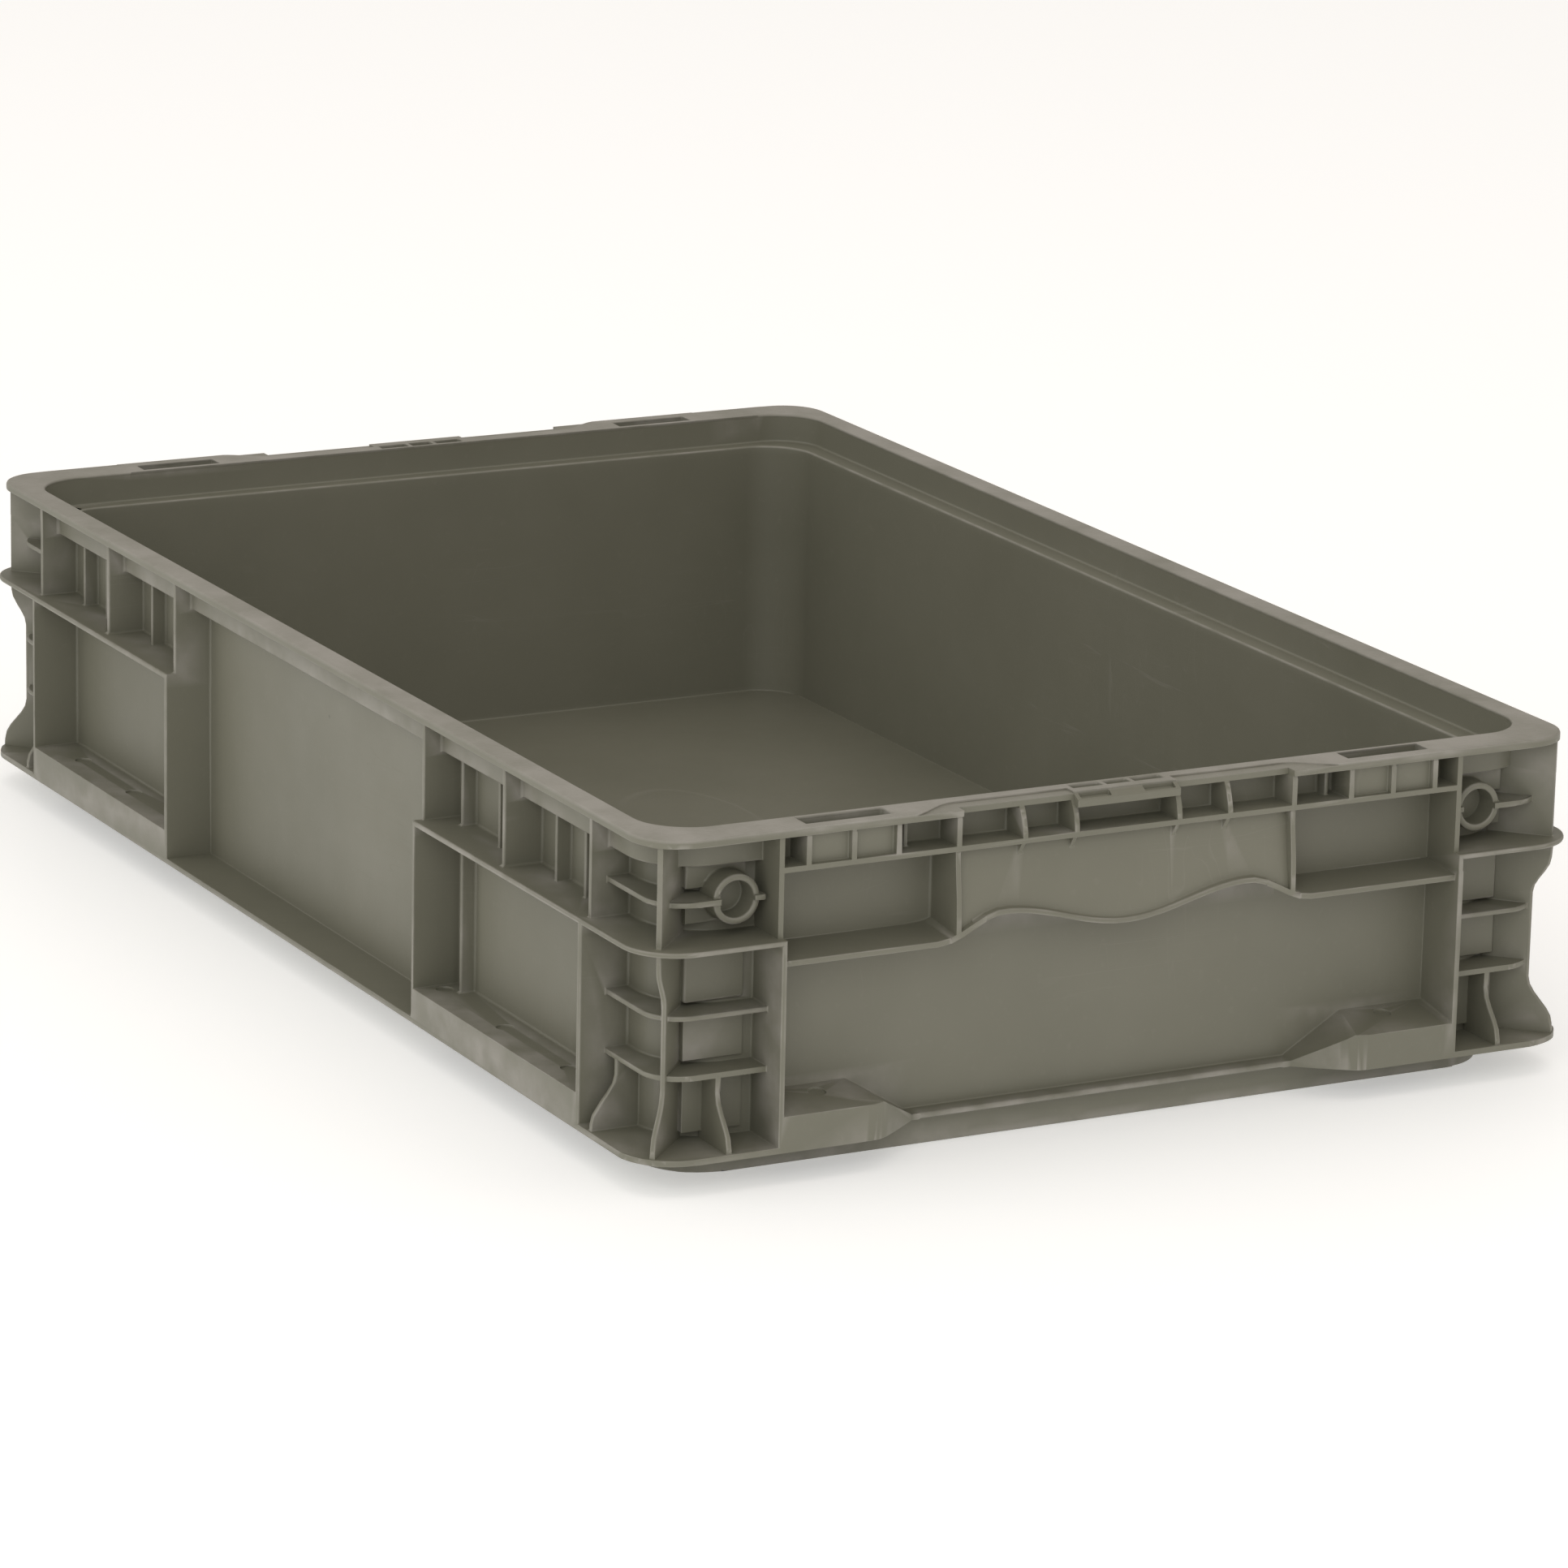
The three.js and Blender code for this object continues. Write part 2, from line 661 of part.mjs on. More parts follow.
// ---- named regions of the moulding, parted along flat planes ----
// Each plane runs through plain wall, clear of every rib face.
const CUT_X = PLATE_X[2] - 4; // long sides end here, corners begin
const CUT_Y = POST_Y - 4;
const BAY_X = PLATE_X[0] - 4; // bays outside this, plain panel inside
const GRIP_CUT_Y = GRIP_Y + 4;
const BLOCK_CUT_Y = BLOCK_END_Y - 4;
const FOOT_CUT_Z = FLANGE_Z - 2.6;
const BLOCK_CUT_Z = 32;
const POCKET_CUT_Z = POCKET_Z - 3.8;
const LEDGE_CUT_Z = LEDGE_Z - 4;
const JOG_CUT_Z = STEP_UNDER - 1.4; // under the inside step
const RAIL_CUT_Z = RAIL_Z - 0.8;
const RIM_CUT_Z = RIM_Z - 0.7;
const FLOOR_INSET = 8; // the floor parts from the foot this far inside the wall
const INNER = 12; // regions reach this far inside the lower wall
const HIGH = HEIGHT + 10;
const FAR = 400;

const group = new THREE.Group();
const COLOUR = 0x76756a;

function addNode(name, region) {
  const m = whole.intersect(region).getMesh();
  const g = new THREE.BufferGeometry();
  g.setAttribute("position", new THREE.BufferAttribute(new Float32Array(m.vertProperties), 3));
  g.setIndex(new THREE.BufferAttribute(new Uint32Array(m.triVerts), 1));
  g.computeVertexNormals();
  const finish = { color: COLOUR, roughness: 0.6, metalness: 0 };
  const mesh = new THREE.Mesh(g, new THREE.MeshStandardMaterial(finish));
  mesh.name = name;
  group.add(mesh);
}

// A region given in the +X +Y quadrant, reflected to the quadrant asked for.
function regionAt(sx, sy, x0, x1, y0, y1, z0, z1) {
  return solid(reflected(box(x0, x1, y0, y1, z0, z1), sx, sy));
}

const floorX = TUB_X - FLOOR_INSET;
const floorY = TUB_Y - FLOOR_INSET;
const footInner = solid(box(-floorX, floorX, -floorY, floorY, -1, FLANGE_Z));
const footZone = solid(box(-FAR, FAR, -FAR, FAR, -2, FOOT_CUT_Z));
addNode("base_floor", footInner.intersect(footZone));
addNode("stacking_foot", footZone.subtract(footInner));

const ENDS = [
  ["right", 1],
  ["left", -1],
];
const SIDES = [
  ["back", 1],
  ["front", -1],
];
for (const [side, sy] of SIDES) {
  const along = (z0, z1, x) => {
    return solid(reflected(box(-x, x, TUB_Y - INNER, FAR, z0, z1), 1, sy));
  };
  addNode(`side_panel_${side}`, along(FOOT_CUT_Z, JOG_CUT_Z, BAY_X));
  addNode(`rim_side_${side}`, along(JOG_CUT_Z, HIGH, CUT_X));
}
for (const [end, sx] of ENDS) {
  const across = (z0, z1, y) => {
    return solid(reflected(box(TUB_X - INNER, FAR, -y, y, z0, z1), sx, 1));
  };
  addNode(`end_foot_rail_${end}`, across(FOOT_CUT_Z, BLOCK_CUT_Z, BLOCK_CUT_Y));
  addNode(`end_panel_${end}`, across(BLOCK_CUT_Z, POCKET_CUT_Z, CUT_Y));
  addNode(`hand_grip_${end}`, across(POCKET_CUT_Z, RAIL_CUT_Z, GRIP_CUT_Y));
  addNode(`cell_rail_${end}`, across(RAIL_CUT_Z, RIM_CUT_Z, GRIP_CUT_Y));
  addNode(`rim_end_${end}`, across(RIM_CUT_Z, HIGH, GRIP_CUT_Y));
}
const BAY_Y = TUB_Y - INNER;
const END_X = TUB_X - INNER;
for (const [end, sx] of ENDS) {
  for (const [side, sy] of SIDES) {
    const at = (...limits) => regionAt(sx, sy, ...limits);
    const name = `${side}_${end}`;
    addNode(`lower_bay_${name}`, at(BAY_X, CUT_X, BAY_Y, FAR, FOOT_CUT_Z, LEDGE_CUT_Z));
    addNode(`upper_bay_${name}`, at(BAY_X, CUT_X, BAY_Y, FAR, LEDGE_CUT_Z, JOG_CUT_Z));
    addNode(`corner_post_${name}`, at(CUT_X, FAR, CUT_Y, FAR, FOOT_CUT_Z, LEDGE_CUT_Z));
    addNode(`corner_bay_${name}`, at(CUT_X, FAR, CUT_Y, FAR, LEDGE_CUT_Z, JOG_CUT_Z));
    addNode(`rim_corner_${name}`, at(CUT_X, FAR, CUT_Y, FAR, JOG_CUT_Z, HIGH));
    addNode(`end_block_${name}`, at(END_X, FAR, BLOCK_CUT_Y, CUT_Y, FOOT_CUT_Z, BLOCK_CUT_Z));
    addNode(`label_pocket_${name}`, at(END_X, FAR, GRIP_CUT_Y, CUT_Y, POCKET_CUT_Z, RAIL_CUT_Z));
    addNode(`slot_cells_${name}`, at(END_X, FAR, GRIP_CUT_Y, CUT_Y, RAIL_CUT_Z, RIM_CUT_Z));
    addNode(`rim_slot_${name}`, at(END_X, FAR, GRIP_CUT_Y, CUT_Y, RIM_CUT_Z, HIGH));
  }
}

export default group;
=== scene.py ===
import math

import bmesh
import bpy
import numpy as np
from mathutils import Matrix, Vector
from mathutils.kdtree import KDTree


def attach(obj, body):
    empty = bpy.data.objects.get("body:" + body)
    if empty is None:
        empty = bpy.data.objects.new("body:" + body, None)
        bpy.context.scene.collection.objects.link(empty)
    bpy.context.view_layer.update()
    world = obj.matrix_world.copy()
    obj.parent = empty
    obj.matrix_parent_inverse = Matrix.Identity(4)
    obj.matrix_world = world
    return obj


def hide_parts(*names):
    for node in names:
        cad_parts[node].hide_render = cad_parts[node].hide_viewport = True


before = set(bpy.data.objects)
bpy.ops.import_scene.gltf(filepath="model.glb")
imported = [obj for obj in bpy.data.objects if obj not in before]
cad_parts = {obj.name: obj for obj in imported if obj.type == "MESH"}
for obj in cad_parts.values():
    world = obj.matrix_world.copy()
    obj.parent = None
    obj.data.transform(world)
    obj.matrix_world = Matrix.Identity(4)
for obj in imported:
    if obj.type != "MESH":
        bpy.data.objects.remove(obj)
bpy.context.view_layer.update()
MM = 0.001

# ---- planes that part the moulding, the same as the CAD's, in millimetres ----
CUT_X = 248.0
BAY_X = 111.0
CUT_Y = 133.5
GRIP_CUT_Y = 72.0
BLOCK_CUT_Y = 74.0
FLOOR_X = 273.0
FLOOR_Y = 161.3
FOOT_Z = 8.8
BLOCK_Z = 32.0
POCKET_Z = 74.0
LEDGE_Z = 82.0
RAIL_Z = 110.4
JOG_Z = 111.6
RIM_Z = 123.3
PLANES = {
    0: (CUT_X, BAY_X, FLOOR_X),
    1: (CUT_Y, GRIP_CUT_Y, BLOCK_CUT_Y, FLOOR_Y),
    2: (FOOT_Z, BLOCK_Z, POCKET_Z, LEDGE_Z, RAIL_Z, JOG_Z, RIM_Z),
}
ON_PLANE = 0.004  # a corner this close to a plane lies on it, in millimetres
SQUARE_ON = 0.999  # cosine above which a face counts as parallel to a plane
WELD, WELD_STITCHED = 0.004, 0.006  # corners this close are one, in millimetres
SHORT_EDGE = 0.02  # shorter edges aren't split or tested, in millimetres
NO_LENGTH = 0.01  # shorter edges are taken out, in millimetres
SPLIT_MARGIN = 0.01  # an edge isn't split this close to its own ends, in millimetres
FLAT = math.radians(0.5)  # flatter edges are dissolved
STITCH_ROUNDS = 3

# ---- rounding of the edges ----
FILLET = 1.0  # widest edge radius, in millimetres
SMOOTH = math.radians(24)  # edges flatter than this belong to a curve
SHARP = math.radians(52)  # edges still steeper than this after rounding stay crisp
ROOM_SHARE = 0.42  # a fillet takes this much of the way to the next edge
WIDE_ROOM = 10.0  # millimetres, more than any fillet needs
ACROSS = 0.35  # sine of the angle between two edges that don't run alongside
LEAST_WEIGHT = 0.12  # an edge with less than this share of a fillet stays sharp
FOLD = math.radians(140)  # an edge this steep is a fold
NEAR_FOLD = 2.4  # edges this close to a fold are rounded less, in millimetres
LESS = 0.6  # how much less, at each try
TRIES = 7  # a few small folds are left after the last one
TURNED = 0.1  # cosine below which a triangle has turned away from its own face
SPECK = 0.004  # twice the area of a triangle too small to test, in square millimetres
DOUBLED, SLACK = 1.08, 0.02  # a face whose triangles cover more than this overlaps itself
WEAR_HIGHLIGHT_FROM, WEAR_HIGHLIGHT_TO = 30, 60  # the middle line of a fillet turns by this many degrees; this line is painted lighter, partly as wear and partly as a painted highlight

# ---- tones of the plastic, linear RGB ----
DARK_TONE = (0.152, 0.149, 0.112)
LIGHT_TONE = (0.178, 0.173, 0.133)
FLECK_TONE = (0.205, 0.200, 0.160)
# light tone for scuffs, scratches and worn edges; on outward fillets it is also a painted
# highlight
SCUFF_AND_HIGHLIGHT_TONE = (0.330, 0.312, 0.282)
DIRT_TONE = (0.060, 0.056, 0.045)
RIM_SCUFF_LOW, RIM_SCUFF_HIGH = 0.1258, 0.1268  # metres
FOOT_SCUFF_TOP, FOOT_SCUFF_FULL = 0.004, 0.001  # metres

# ---- how strongly each mark shows ----
FLECK = 0.25
RIM_SCUFF = 0.85
FOOT_SCUFF = 0.5
SCRATCH = 0.12
DIRT = 0.6
ROUGH_LOW, ROUGH_HIGH, ROUGH_WORN = 0.44, 0.54, 0.66

# ---- relief of the surface: distance in metres, and strength ----
SINK = (0.0012, 0.35)
RIPPLE = (0.0006, 0.6)
GRAIN = (0.00006, 0.55)
GROOVE = (0.00005, 0.25)

NODES = sorted(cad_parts)


# ---- the moulding as one clean surface ----
def merged_surface():
    """All nodes in one mesh, without the faces where two nodes touch."""
    bm = bmesh.new()
    owner = bm.faces.layers.int.new("owner")
    for number, name in enumerate(NODES):
        before = len(bm.faces)
        bm.from_mesh(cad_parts[name].data)
        bm.faces.ensure_lookup_table()
        for face in bm.faces[before:]:
            face[owner] = number
    bmesh.ops.scale(bm, vec=[1 / MM] * 3, verts=bm.verts)
    caps = [f for f in bm.faces if on_parting_plane(f)]
    bmesh.ops.delete(bm, geom=caps, context="FACES")
    bmesh.ops.remove_doubles(bm, verts=bm.verts, dist=WELD)
    stitch(bm)
    for e in bm.edges:
        e.seam = len({f[owner] for f in e.link_faces}) > 1
    bmesh.ops.dissolve_limit(
        bm, angle_limit=FLAT, verts=bm.verts, edges=bm.edges, delimit={"SEAM"}
    )
    bmesh.ops.dissolve_degenerate(bm, edges=bm.edges, dist=NO_LENGTH)
    bmesh.ops.connect_verts_concave(bm, faces=bm.faces)
    return bm


def on_parting_plane(face):
    """Whether a face was made by the parting, and so faces a neighbour."""
    face.normal_update()
    for axis, planes in PLANES.items():
        if abs(face.normal[axis]) < SQUARE_ON:
            continue
        for at in planes:
            if all(abs(abs(v.co[axis]) - at) < ON_PLANE for v in face.verts):
                return True
    return False


def stitch(bm):
    """Splits open edges where another open corner lies on them, and merges."""
    for _ in range(STITCH_ROUNDS):
        open_edges = [e for e in bm.edges if len(e.link_faces) == 1]
        if not open_edges:
            return
        corners = list({v for e in open_edges for v in e.verts})
        co = np.array([v.co for v in corners])
        for e in open_edges:
            a, b = (np.array(v.co) for v in e.verts)
            d = b - a
            length = float(np.linalg.norm(d))
            if length < SHORT_EDGE:
                continue
            t = (co - a) @ d / (length * length)
            off = np.linalg.norm(co - a - t[:, None] * d, axis=1)
            from_ends = np.minimum(t, 1 - t) * length
            inside = (from_ends > SPLIT_MARGIN) & (off < WELD_STITCHED)
            stops = sorted(set(round(float(x), 7) for x in t[inside]))
            edge, start, done = e, e.verts[0], 0.0
            for stop in stops:
                share = (stop - done) / (1 - done)
                edge, corner = bmesh.utils.edge_split(edge, start, share)
                rest = [x for x in corner.link_edges if start not in x.verts]
                corner.co = Vector(a + d * stop)
                edge = [x for x in rest if x.is_boundary][0] if rest else edge
                start, done = corner, stop
        bmesh.ops.remove_doubles(bm, verts=bm.verts, dist=WELD_STITCHED)


def edge_weights(bm):
    """How much of the full fillet each edge can take without meeting its neighbours."""
    weights = {}
    for e in bm.edges:
        if len(e.link_faces) != 2 or e.calc_face_angle(0) < SMOOTH:
            continue
        along = (e.verts[1].co - e.verts[0].co).normalized()
        room = WIDE_ROOM
        for face in e.link_faces:
            for v in e.verts:
                for other in v.link_edges:
                    if other is e or face not in other.link_faces:
                        continue
                    d = other.verts[1].co - other.verts[0].co
                    away = along.cross(d).length
                    if away >= ACROSS * d.length:
                        room = min(room, away)
        weight = min(1.0, ROOM_SHARE * room / FILLET)
        if weight > LEAST_WEIGHT:
            weights[e] = weight
    return weights


def rounded_copy(bm, weights):
    """The surface as a mesh, with each weighted edge rounded."""
    layer = bm.edges.layers.float["bevel_weight_edge"]
    for e in bm.edges:
        e[layer] = weights.get(e, 0.0)
    mesh = bpy.data.meshes.new("moulding")
    bm.to_mesh(mesh)
    whole = bpy.data.objects.new("moulding", mesh)
    bpy.context.scene.collection.objects.link(whole)
    mod = whole.modifiers.new("round", "BEVEL")
    mod.limit_method = "WEIGHT"
    mod.width = FILLET
    mod.segments = 2
    mod.use_clamp_overlap = False
    mod.miter_outer = "MITER_SHARP"
    mod.profile = 0.5
    bpy.context.view_layer.update()
    depsgraph = bpy.context.evaluated_depsgraph_get()
    out = bpy.data.meshes.new_from_object(whole.evaluated_get(depsgraph))
    bpy.data.objects.remove(whole)
    bpy.data.meshes.remove(mesh)
    return out


def folds(mesh):
    """Points where the rounded mesh folds over itself."""
    mesh.calc_loop_triangles()
    count = len(mesh.loop_triangles)
    corners = np.empty(count * 3, np.int32)
    owners = np.empty(count, np.int32)
    mesh.loop_triangles.foreach_get("vertices", corners)
    mesh.loop_triangles.foreach_get("polygon_index", owners)
    co = np.empty(len(mesh.vertices) * 3)
    mesh.vertices.foreach_get("co", co)
    co = co.reshape(-1, 3)
    normal = np.empty(len(mesh.polygons) * 3)
    mesh.polygons.foreach_get("normal", normal)
    normal = normal.reshape(-1, 3)
    a, b, c = (co[corners[k::3]] for k in range(3))
    cross = np.cross(b - a, c - a)
    size = np.linalg.norm(cross, axis=1)
    facing = np.einsum("ij,ij->i", cross, normal[owners])
    turned = (facing < TURNED * size) & (size > SPECK)
    total = np.bincount(owners, size, len(mesh.polygons))
    net = np.bincount(owners, facing, len(mesh.polygons))
    doubled = (total > DOUBLED * np.abs(net) + SLACK)[owners]
    bad = turned | doubled
    points = [a[bad], b[bad], c[bad]]
    bm = bmesh.new()
    bm.from_mesh(mesh)
    back = [
        v.co[:]
        for e in bm.edges
        if len(e.link_faces) == 2
        and e.calc_length() > SHORT_EDGE
        and e.calc_face_angle(0) > FOLD
        for v in e.verts
    ]
    bm.free()
    if back:
        points.append(np.array(back))
    return np.concatenate(points)


def rounded_surface():
    """The moulding with its edges rounded, less where a full fillet has no room."""
    bm = merged_surface()
    bm.edges.layers.float.new("bevel_weight_edge")
    weights = edge_weights(bm)
    for attempt in range(TRIES):
        mesh = rounded_copy(bm, weights)
        points = folds(mesh)
        if not len(points) or attempt == TRIES - 1:
            break
        spots = KDTree(len(points))
        for k, point in enumerate(points):
            spots.insert(point, k)
        spots.balance()
        for e in list(weights):
            near = min(spots.find(v.co)[2] for v in e.verts)
            if near < NEAR_FOLD:
                weights[e] *= LESS
                if weights[e] < LEAST_WEIGHT:
                    del weights[e]
        bpy.data.meshes.remove(mesh)
    bm.free()
    return mesh


# ---- plastic ----
def crate_material():
    """Grey-green polyethylene: fine moulded grain, mottling, scuffs, and outward edges painted
    lighter as wear and as a painted highlight.
    """
    mat = bpy.data.materials.new("crate_plastic")
    mat.use_nodes = True
    tree = mat.node_tree
    link = tree.links.new
    bsdf = tree.nodes["Principled BSDF"]
    place = tree.nodes.new("ShaderNodeTexCoord").outputs["Object"]

    def scaled(stretch):
        node = tree.nodes.new("ShaderNodeMapping")
        node.inputs["Scale"].default_value = stretch
        link(place, node.inputs["Vector"])
        return node.outputs["Vector"]

    def noise(scale, detail=2.0, rough=0.5, stretch=None, distortion=0.0):
        node = tree.nodes.new("ShaderNodeTexNoise")
        node.inputs["Scale"].default_value = scale
        node.inputs["Detail"].default_value = detail
        node.inputs["Roughness"].default_value = rough
        node.inputs["Distortion"].default_value = distortion
        link(scaled(stretch) if stretch else place, node.inputs["Vector"])
        return node.outputs["Fac"]

    def span(value, low, high, to_low=0.0, to_high=1.0):
        node = tree.nodes.new("ShaderNodeMapRange")
        node.clamp = True
        for socket, number in zip(node.inputs[1:5], (low, high, to_low, to_high)):
            socket.default_value = number
        link(value, node.inputs[0])
        return node.outputs[0]

    def times(a, b):
        node = tree.nodes.new("ShaderNodeMath")
        node.operation = "MULTIPLY"
        link(a, node.inputs[0])
        if isinstance(b, float):
            node.inputs[1].default_value = b
        else:
            link(b, node.inputs[1])
        return node.outputs[0]

    def highest(a, b):
        node = tree.nodes.new("ShaderNodeMath")
        node.operation = "MAXIMUM"
        link(a, node.inputs[0])
        link(b, node.inputs[1])
        return node.outputs[0]

    def mixed(share, a, b):
        node = tree.nodes.new("ShaderNodeMix")
        node.data_type = "RGBA"
        link(share, node.inputs["Factor"])
        for socket, colour in ((node.inputs[6], a), (node.inputs[7], b)):
            if isinstance(colour, tuple):
                socket.default_value = (*colour, 1)
            else:
                link(colour, socket)
        return node.outputs[2]

    # scratches: thin ridges of stretched noise, kept only in patches
    def scratches(scale, stretch, keep):
        line = noise(scale, 1.0, 0.5, stretch, 0.6)
        thin = times(span(line, 0.494, 0.5), span(line, 0.506, 0.5))
        return times(thin, span(noise(7.0, 2.0), keep, keep + 0.08))

    position = tree.nodes.new("ShaderNodeSeparateXYZ")
    link(place, position.inputs[0])
    height = position.outputs["Z"]
    worn_and_lit_edge = tree.nodes.new("ShaderNodeAttribute")
    worn_and_lit_edge.attribute_name = "wear_and_edge_highlight"

    mottle = span(noise(8.0, 4.0, 0.6), 0.3, 0.7)
    colour = mixed(mottle, DARK_TONE, LIGHT_TONE)
    fleck = span(noise(310.0, 2.0), 0.62, 0.8)
    colour = mixed(times(fleck, FLECK), colour, FLECK_TONE)
    scratch = highest(
        scratches(5.0, (1.0, 1.0, 26.0), 0.55), scratches(6.0, (18.0, 14.0, 2.0), 0.58)
    )
    rim_top = span(height, RIM_SCUFF_LOW, RIM_SCUFF_HIGH)
    rim_patch = span(noise(22.0, 5.0, 0.65, (1.0, 1.0, 0.2)), 0.34, 0.6, 0.3, 1.0)
    rim_scuff = times(rim_top, rim_patch)
    foot_low = span(height, FOOT_SCUFF_TOP, FOOT_SCUFF_FULL)
    foot_scuff = times(foot_low, span(noise(30.0, 4.0), 0.4, 0.6))
    # outward fillets painted lighter: partly worn edges, partly a painted highlight where edges
    # catch the light
    edge_wear_and_highlight = times(worn_and_lit_edge.outputs["Fac"], span(noise(70.0, 3.0), 0.35, 0.7, 0.15, 0.75))
    scuff = highest(times(rim_scuff, RIM_SCUFF), times(foot_scuff, FOOT_SCUFF))
    wear_and_edge_highlight = highest(scuff, edge_wear_and_highlight)
    # lightens the rim and foot scuffs, and paints the highlight along outward fillets
    colour = mixed(wear_and_edge_highlight, colour, SCUFF_AND_HIGHLIGHT_TONE)
    colour = mixed(times(scratch, SCRATCH), colour, SCUFF_AND_HIGHLIGHT_TONE)
    speck = tree.nodes.new("ShaderNodeTexVoronoi")
    speck.inputs["Scale"].default_value = 34.0
    link(place, speck.inputs["Vector"])
    lone = tree.nodes.new("ShaderNodeSeparateColor")
    link(speck.outputs["Color"], lone.inputs[0])
    dirt = times(span(speck.outputs["Distance"], 0.035, 0.02), span(lone.outputs[0], 0.9, 0.92))
    colour = mixed(times(dirt, DIRT), colour, DIRT_TONE)
    link(colour, bsdf.inputs["Base Color"])

    rough = span(noise(26.0, 3.0), 0.3, 0.7, ROUGH_LOW, ROUGH_HIGH)
    rougher = tree.nodes.new("ShaderNodeMix")
    link(highest(wear_and_edge_highlight, scratch), rougher.inputs[0])
    link(rough, rougher.inputs[2])
    rougher.inputs[3].default_value = ROUGH_WORN
    link(rougher.outputs[0], bsdf.inputs["Roughness"])

    def bump(height_map, relief, before=None):
        distance, strength = relief
        node = tree.nodes.new("ShaderNodeBump")
        node.inputs["Distance"].default_value = distance
        node.inputs["Strength"].default_value = strength
        link(height_map, node.inputs["Height"])
        if before:
            link(before, node.inputs["Normal"])
        return node.outputs["Normal"]

    sink = bump(noise(14.0, 1.0), SINK)
    ripple = bump(times(noise(160.0, 3.0, 0.6, (1.0, 1.0, 0.6)), rim_top), RIPPLE, sink)
    grain = bump(noise(1500.0, 3.0, 0.6), GRAIN, ripple)
    groove = bump(span(scratch, 0.0, 1.0, 1.0, 0.0), GROOVE, grain)
    link(groove, bsdf.inputs["Normal"])
    return mat


def mark_wear_and_highlight(bm):
    """Stores how exposed each corner is: 1 along the middle of an outward fillet, where the
    colour is lightened for wear and as a painted highlight.
    """
    wear_and_edge_highlight = bm.verts.layers.float.new("wear_and_edge_highlight")
    for e in bm.edges:
        if len(e.link_faces) != 2:
            continue
        angle = math.degrees(e.calc_face_angle_signed(0))
        if WEAR_HIGHLIGHT_FROM < angle < WEAR_HIGHLIGHT_TO:
            for v in e.verts:
                v[wear_and_edge_highlight] = 1.0


def make_pieces(surface, material):
    """One object for each named node, cut out of the rounded surface."""
    whole = bmesh.new()
    whole.from_mesh(surface)
    mark_wear_and_highlight(whole)
    for e in whole.edges:
        e.smooth = len(e.link_faces) != 2 or e.calc_face_angle(0) < SHARP
    for number, name in enumerate(NODES):
        part = whole.copy()
        layer = part.faces.layers.int["owner"]
        others = [f for f in part.faces if f[layer] != number]
        bmesh.ops.delete(part, geom=others, context="FACES")
        bmesh.ops.scale(part, vec=(MM, MM, MM), verts=part.verts)
        for face in part.faces:
            face.smooth = True
        mesh = bpy.data.meshes.new(name + "_moulded")
        part.to_mesh(mesh)
        part.free()
        piece = bpy.data.objects.new(name + "_moulded", mesh)
        bpy.context.scene.collection.objects.link(piece)
        normals = piece.modifiers.new("normals", "WEIGHTED_NORMAL")
        normals.keep_sharp = True
        mesh.materials.append(material)
        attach(piece, "root")
        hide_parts(name)
    whole.free()


rounded = rounded_surface()
make_pieces(rounded, crate_material())
bpy.data.meshes.remove(rounded)

# ---- camera, light and floor ----
CAMERA_AT = Vector((2.42279, -1.26207, 0.80086))
CAMERA_TURN = (62.076, 15.317, 1.288)  # azimuth, elevation and roll, in degrees
LENS = 167.34
WARM = (1.0, 0.95, 0.89)
COOL = (0.97, 1.0, 0.99)
AREA_LIGHTS = {
    "top": ((0.2, 0.1, 2.6), (2.4, 2.4), 9, WARM),
    "front": ((2.4, -1.4, 1.5), (1.8, 1.6), 18, COOL),
    "side": ((-0.6, -2.8, 1.4), (2.2, 1.4), 15, COOL),
}
LIT_POINT = Vector((0, 0, 0.06))
WORLD_LIGHT = 0.63
FLOOR_HALF = 6
FLOOR_DROP = 0.0002  # keeps the floor off the underside of the foot


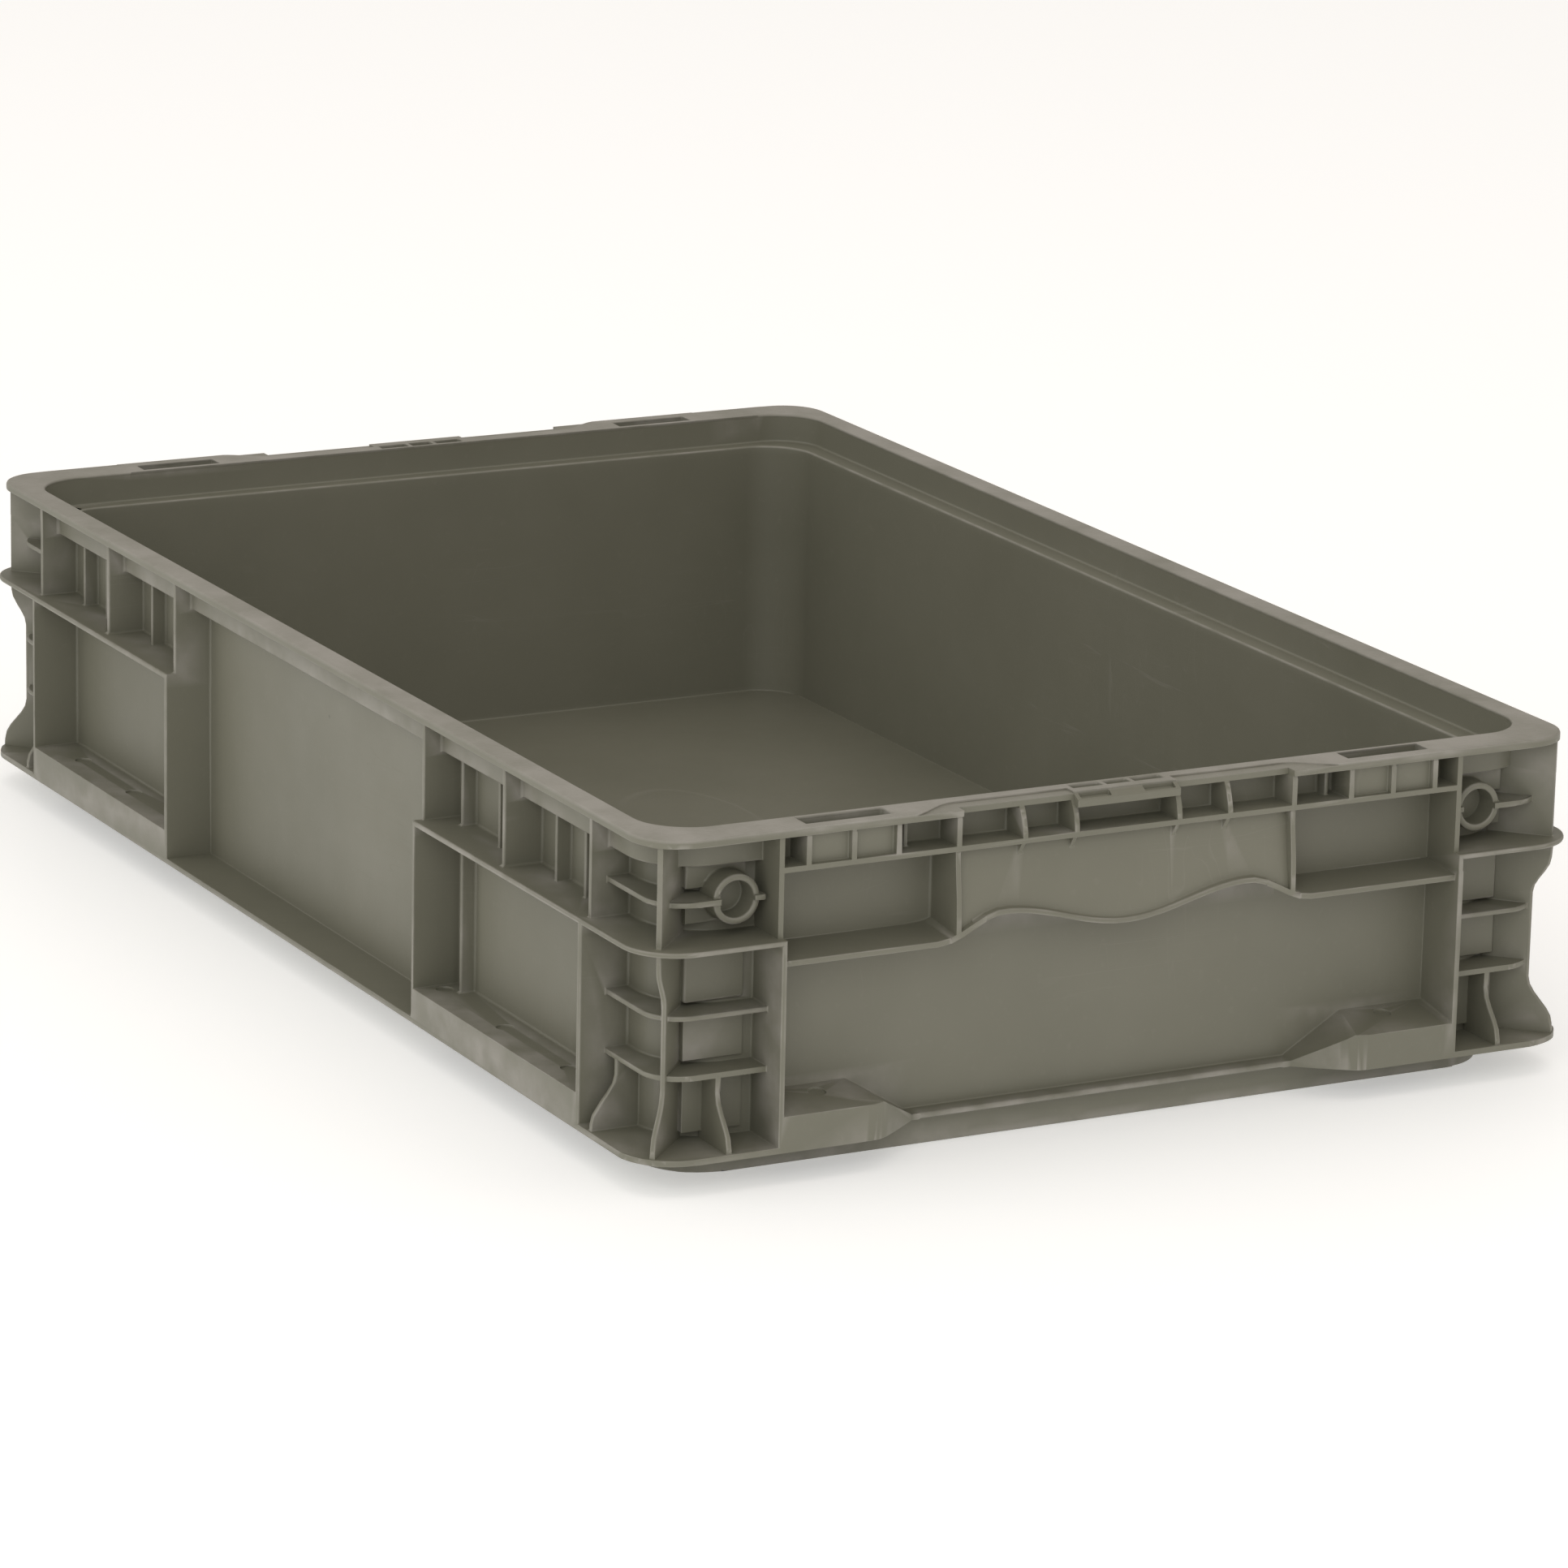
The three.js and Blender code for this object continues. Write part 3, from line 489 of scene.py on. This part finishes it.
def camera():
    azimuth, elevation, roll = (math.radians(a) for a in CAMERA_TURN)
    back = Vector(
        (
            math.sin(azimuth) * math.cos(elevation),
            -math.cos(azimuth) * math.cos(elevation),
            math.sin(elevation),
        )
    )
    right = (-back).cross(Vector((0, 0, 1))).normalized()
    up = right.cross(-back)
    rolled_right = math.cos(roll) * right + math.sin(roll) * up
    rolled_up = -math.sin(roll) * right + math.cos(roll) * up
    data = bpy.data.cameras.new("camera")
    data.sensor_width = 36
    data.lens = LENS
    data.clip_start = 0.1
    data.clip_end = 50
    cam = bpy.data.objects.new("camera", data)
    rows = [(rolled_right[i], rolled_up[i], back[i], CAMERA_AT[i]) for i in range(3)]
    cam.matrix_world = Matrix((*rows, (0, 0, 0, 1)))
    bpy.context.scene.collection.objects.link(cam)
    bpy.context.scene.camera = cam


def area_light(name, at, size, power, colour):
    data = bpy.data.lights.new(name, "AREA")
    data.shape = "RECTANGLE"
    data.size, data.size_y = size
    data.energy = power
    data.color = colour
    light = bpy.data.objects.new(name, data)
    light.location = at
    light.rotation_euler = (LIT_POINT - Vector(at)).to_track_quat("-Z", "Y").to_euler()
    bpy.context.scene.collection.objects.link(light)


def even_light():
    world = bpy.data.worlds.new("studio")
    bpy.context.scene.world = world
    world.use_nodes = True
    background = world.node_tree.nodes["Background"]
    background.inputs[0].default_value = (*WARM, 1)
    background.inputs[1].default_value = WORLD_LIGHT


def pale_floor():
    bm = bmesh.new()
    bmesh.ops.create_grid(bm, x_segments=8, y_segments=8, size=FLOOR_HALF)
    mesh = bpy.data.meshes.new("floor")
    bm.to_mesh(mesh)
    bm.free()
    floor = bpy.data.objects.new("floor", mesh)
    floor.location.z = -FLOOR_DROP
    bpy.context.scene.collection.objects.link(floor)
    mat = bpy.data.materials.new("floor")
    mat.use_nodes = True
    sockets = mat.node_tree.nodes["Principled BSDF"].inputs
    sockets["Base Color"].default_value = (0.86, 0.86, 0.86, 1)
    sockets["Roughness"].default_value = 0.6
    sockets["Emission Color"].default_value = (1, 1, 1, 1)
    sockets["Emission Strength"].default_value = 0.36
    mesh.materials.append(mat)


camera()
bpy.context.scene.view_settings.view_transform = "Standard"
for name, light in AREA_LIGHTS.items():
    area_light(name, *light)
even_light()
pale_floor()
